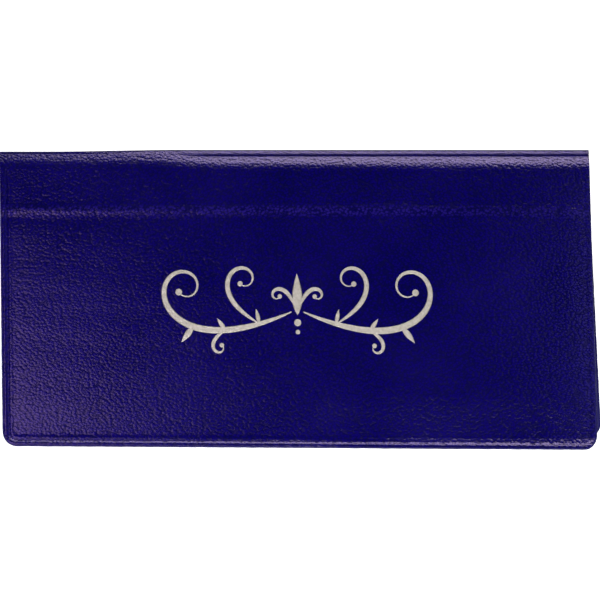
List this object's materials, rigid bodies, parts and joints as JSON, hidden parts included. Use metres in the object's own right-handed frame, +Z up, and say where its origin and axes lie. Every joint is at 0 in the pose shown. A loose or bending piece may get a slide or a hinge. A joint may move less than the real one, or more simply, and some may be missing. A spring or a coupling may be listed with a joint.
{
  "type": "checkbook cover",
  "caption": "Top-folding vinyl checkbook cover with heat-sealed edges, two inner pockets and a clear flap for duplicate copies.",
  "frame": {"origin": "on the table under the middle of the closed cover's box", "axes": "+X along the fold, +Y up the cover towards the fold, +Z up from the table through the rear panel, then the front"},
  "size_m": [0.165, 0.083, 0.0055],
  "materials": {
    "outer_vinyl": "fine leather-grain embossed vinyl, satin",
    "pocket_vinyl": "smooth satin vinyl",
    "fused_vinyl": "melted and smooth",
    "clear_vinyl": "clear, smooth"
  },
  "bodies": {
    "rear": {"rear_cover": "outer_vinyl", "rear_pocket": "pocket_vinyl", "rear_edge_bead": "fused_vinyl"},
    "spine": {"spine_strip": "outer_vinyl", "flap_foot": "clear_vinyl"},
    "front": {"front_cover": "outer_vinyl", "front_pocket": "pocket_vinyl", "front_edge_bead": "fused_vinyl"},
    "flap": {"duplicate_flap": "clear_vinyl"}
  },
  "joints": [
    {"name": "rear_crease", "type": "hinge", "parent": "rear", "child": "spine", "pos_m": [0, 0.0411, 0.00042], "axis": [-1, 0, 0], "range_deg": [0, 91.12]},
    {"name": "front_crease", "type": "hinge", "parent": "spine", "child": "front", "pos_m": [0, 0.04101, 0.00512], "axis": [-1, 0, 0], "range_deg": [0, 91.12]},
    {"name": "flap_hinge", "type": "hinge", "parent": "spine", "child": "flap", "pos_m": [0, 0.04072, 0.00276], "axis": [1, 0, 0], "range_deg": [0, 45.56]}
  ],
  "couplings": [
    {"joint": "front_crease", "follows": "rear_crease", "ratio": 1},
    {"joint": "flap_hinge", "follows": "rear_crease", "ratio": 0.5}
  ]
}
